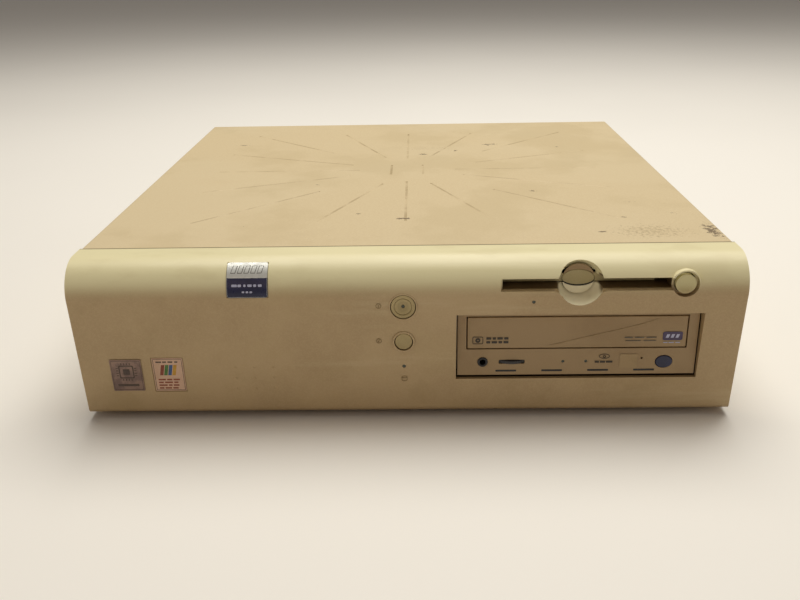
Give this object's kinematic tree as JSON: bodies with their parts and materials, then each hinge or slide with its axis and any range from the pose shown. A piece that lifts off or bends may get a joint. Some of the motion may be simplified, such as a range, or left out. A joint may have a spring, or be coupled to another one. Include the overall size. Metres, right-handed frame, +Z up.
{
  "type": "desktop computer",
  "caption": "Low flat desktop computer case with a rounded moulded front, steel hood with pressed rays, diskette slot, disc drive tray, round buttons and full working inside.",
  "frame": {"origin": "on the table, under the middle of the case's footprint", "axes": "+Z up, -Y towards the user (the front face), +X to the right as seen from the front"},
  "size_m": [0.412, 0.4364, 0.108],
  "materials": {
    "hood_paint": "light beige powder coat, worn",
    "bezel_plastic": "aged beige, fine grain",
    "cap_plastic": "light beige, smooth",
    "sheet_steel": "zinc plated sheet",
    "bright_steel": "plated",
    "cast_alloy": "dark cast",
    "bare_alloy": "extruded, bare",
    "disk_mirror": "polished",
    "black_plastic": "moulded black",
    "grey_plastic": "moulded dark grey",
    "circuit_board": "green solder mask",
    "tan_board": "tan laminate",
    "ribbon_pvc": "grey flat cable",
    "wire_pvc": "yellow and dark wires",
    "light_lens": "smoked lens",
    "navy_plastic": "dark blue",
    "label_foil": "foil",
    "label_paper": "coated",
    "red_plastic": "red",
    "foot_rubber": "black"
  },
  "bodies": {
    "chassis": {"base_pan": "sheet_steel", "front_wall": "sheet_steel", "rear_panel": "sheet_steel", "drive_cage": "sheet_steel", "rubber_feet": "foot_rubber", "front_bezel": "bezel_plastic", "badge": "navy_plastic", "label_left": "label_foil", "label_right": "label_paper", "front_lights": "light_lens", "control_board": "circuit_board", "speaker": "black_plastic", "floppy_case": "sheet_steel", "optical_case": "sheet_steel", "optical_bezel": "cap_plastic", "headphone_jack": "black_plastic", "disk_base": "cast_alloy", "disk_lid": "bare_alloy", "disk_board": "circuit_board", "main_board": "circuit_board", "board_chips": "black_plastic", "board_sockets": "black_plastic", "rear_ports": "grey_plastic", "cpu_cartridge": "black_plastic", "heat_sink": "bare_alloy", "memory_modules": "circuit_board", "riser_card": "circuit_board", "card_cage": "sheet_steel", "expansion_card": "circuit_board", "slot_covers": "sheet_steel", "power_case": "sheet_steel", "power_board": "tan_board", "fan_frame": "black_plastic", "fan_guard": "bright_steel", "mains_inlet": "black_plastic", "ribbon_cables": "ribbon_pvc", "power_harness": "wire_pvc", "screws": "bright_steel"},
    "hood": {"top_cover": "hood_paint"},
    "left_release": {"release_left": "cap_plastic"},
    "right_release": {"release_right": "cap_plastic"},
    "power_key": {"power_button": "cap_plastic", "power_light": "light_lens"},
    "reset_key": {"reset_button": "cap_plastic"},
    "eject_key": {"eject_button": "cap_plastic"},
    "diskette_flap": {"floppy_flap": "grey_plastic"},
    "diskette_hub": {"floppy_hub": "bright_steel"},
    "diskette_head": {"floppy_head": "cap_plastic"},
    "disc_tray": {"optical_tray": "black_plastic", "tray_door": "cap_plastic"},
    "disc_eject": {"optical_eject": "navy_plastic"},
    "volume": {"volume_wheel": "grey_plastic"},
    "turntable": {"optical_turntable": "grey_plastic"},
    "pickup": {"optical_sled": "grey_plastic"},
    "lead_screw": {"sled_screw": "bright_steel"},
    "platters": {"disk_platters": "disk_mirror"},
    "head_arm": {"disk_arm": "bare_alloy"},
    "fan": {"fan_rotor": "grey_plastic"},
    "voltage_selector": {"voltage_switch": "red_plastic"},
    "padlock_tab": {"padlock_ring": "sheet_steel"}
  },
  "joints": [
    {"name": "hood_hinge", "type": "hinge", "parent": "chassis", "child": "hood", "pos_m": [0, -0.1834, 0.108], "axis": [1, 0, 0], "range_deg": [0, 60]},
    {"name": "left_release_press", "type": "slide", "parent": "hood", "child": "left_release", "axis": [1, 0, 0], "range_m": [0, 0.003], "stiffness_N_per_m": 250},
    {"name": "right_release_press", "type": "slide", "parent": "hood", "child": "right_release", "axis": [-1, 0, 0], "range_m": [0, 0.003], "stiffness_N_per_m": 250},
    {"name": "power_press", "type": "slide", "parent": "chassis", "child": "power_key", "axis": [0, 1, 0], "range_m": [0, 0.003], "stiffness_N_per_m": 300},
    {"name": "reset_press", "type": "slide", "parent": "chassis", "child": "reset_key", "axis": [0, 1, 0], "range_m": [0, 0.0025], "stiffness_N_per_m": 300},
    {"name": "eject_press", "type": "slide", "parent": "chassis", "child": "eject_key", "axis": [0, 1, 0], "range_m": [0, 0.005], "stiffness_N_per_m": 250},
    {"name": "flap_swing", "type": "hinge", "parent": "chassis", "child": "diskette_flap", "pos_m": [0.1062, -0.2032, 0.0969], "axis": [1, 0, 0], "range_deg": [0, 80], "stiffness_Nm_per_rad": 0.002},
    {"name": "hub_spin", "type": "hinge", "parent": "chassis", "child": "diskette_hub", "pos_m": [0.1062, -0.1198, 0.082], "axis": [0, 0, 1], "continuous": true},
    {"name": "head_step", "type": "slide", "parent": "chassis", "child": "diskette_head", "axis": [0, -1, 0], "range_m": [-0.012, 0.012]},
    {"name": "tray_slide", "type": "slide", "parent": "chassis", "child": "disc_tray", "axis": [0, -1, 0], "range_m": [0, 0.13]},
    {"name": "disc_eject_press", "type": "slide", "parent": "chassis", "child": "disc_eject", "axis": [0, 1, 0], "range_m": [0, 0.0015], "stiffness_N_per_m": 300},
    {"name": "volume_turn", "type": "hinge", "parent": "chassis", "child": "volume", "pos_m": [0.0666, -0.2008, 0.039], "axis": [0, 0, 1], "range_deg": [-135, 135]},
    {"name": "disc_spin", "type": "hinge", "parent": "chassis", "child": "turntable", "pos_m": [0.10645, -0.1323, 0.04], "axis": [0, 0, 1], "continuous": true},
    {"name": "pickup_slide", "type": "slide", "parent": "chassis", "child": "pickup", "axis": [0, 1, 0], "range_m": [0, 0.035]},
    {"name": "screw_spin", "type": "hinge", "parent": "chassis", "child": "lead_screw", "pos_m": [0.11245, -0.0678, 0.041], "axis": [0, 1, 0], "continuous": true},
    {"name": "platter_spin", "type": "hinge", "parent": "chassis", "child": "platters", "pos_m": [-0.1472, -0.1178, 0.02], "axis": [0, 0, 1], "continuous": true},
    {"name": "arm_swing", "type": "hinge", "parent": "chassis", "child": "head_arm", "pos_m": [-0.176, -0.0598, 0.02], "axis": [0, 0, 1], "range_deg": [-20, 8]},
    {"name": "fan_spin", "type": "hinge", "parent": "chassis", "child": "fan", "pos_m": [0.1, 0.1957, 0.049], "axis": [0, 1, 0], "continuous": true},
    {"name": "voltage_slide", "type": "slide", "parent": "chassis", "child": "voltage_selector", "axis": [1, 0, 0], "range_m": [0, 0.0052]},
    {"name": "padlock_slide", "type": "slide", "parent": "chassis", "child": "padlock_tab", "axis": [0, 1, 0], "range_m": [0, 0.006]}
  ],
  "couplings": [
    {"joint": "screw_spin", "follows": "pickup_slide", "rad_per_m": 523.6}
  ]
}
